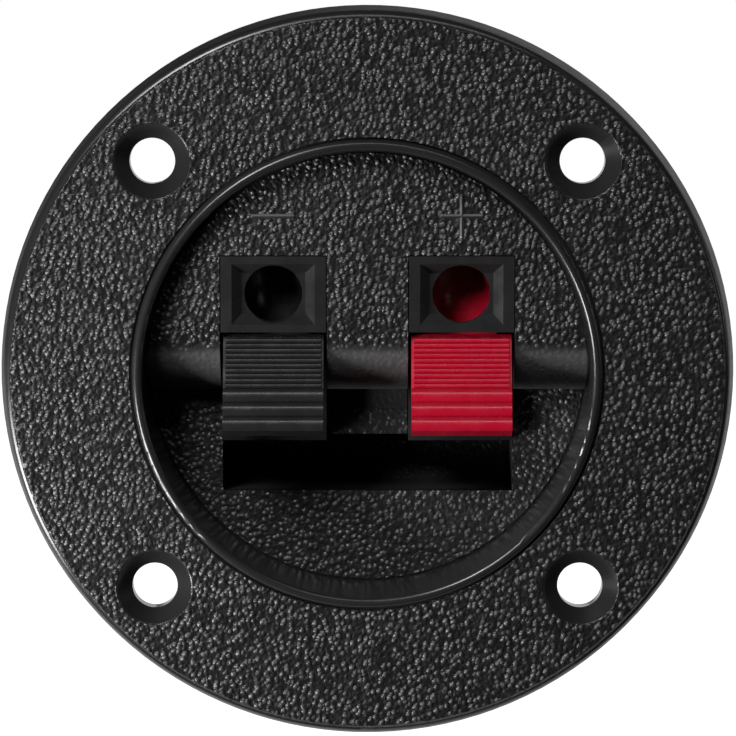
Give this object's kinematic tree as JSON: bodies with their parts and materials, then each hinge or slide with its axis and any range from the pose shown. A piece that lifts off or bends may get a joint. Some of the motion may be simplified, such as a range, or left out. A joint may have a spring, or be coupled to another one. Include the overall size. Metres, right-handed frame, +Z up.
{
  "type": "speaker terminal cup",
  "caption": "Round recessed loudspeaker terminal cup with a flange, a dished face and sprung push levers that clamp bare wire.",
  "frame": {"origin": "centre of the flange's rear face, where the cup seats on its panel", "axes": "-Y looks out of the front, +Y goes into the cabinet, +Z is up with the wire entries above the levers, +X is to the right as seen from the front, on the red lever's side"},
  "size_m": [0.076, 0.0278, 0.076],
  "materials": {
    "cup_black": "moulded black ABS with a sparkling spark-eroded grain, smooth on the bead, rim and roll-off",
    "cover_black": "plain moulded black ABS",
    "guide_black": "smooth satin black moulding",
    "lever_black": "satin black moulding with ribs",
    "lever_red": "satin crimson moulding with ribs",
    "spring_steel": "bright drawn spring wire",
    "contact_tin": "tinned strip"
  },
  "bodies": {
    "housing": {"terminal_cup": "cup_black", "rear_cover": "cover_black", "wire_guide_black": "guide_black", "wire_guide_red": "guide_black", "spring_black": "spring_steel", "spring_red": "spring_steel", "contact_black": "contact_tin", "contact_red": "contact_tin"},
    "black_lever": {"lever_black": "lever_black"},
    "red_lever": {"lever_red": "lever_red"}
  },
  "joints": [
    {"name": "press_black", "type": "hinge", "parent": "housing", "child": "black_lever", "pos_m": [-0.00975, 0.013, 0.004], "axis": [1, 0, 0], "range_deg": [0, 20], "stiffness_Nm_per_rad": 0.12, "springref_deg": -20.05, "deforming": ["spring_black"]},
    {"name": "press_red", "type": "hinge", "parent": "housing", "child": "red_lever", "pos_m": [0.00975, 0.013, 0.004], "axis": [1, 0, 0], "range_deg": [0, 20], "stiffness_Nm_per_rad": 0.12, "springref_deg": -20.05, "deforming": ["spring_red"]}
  ]
}
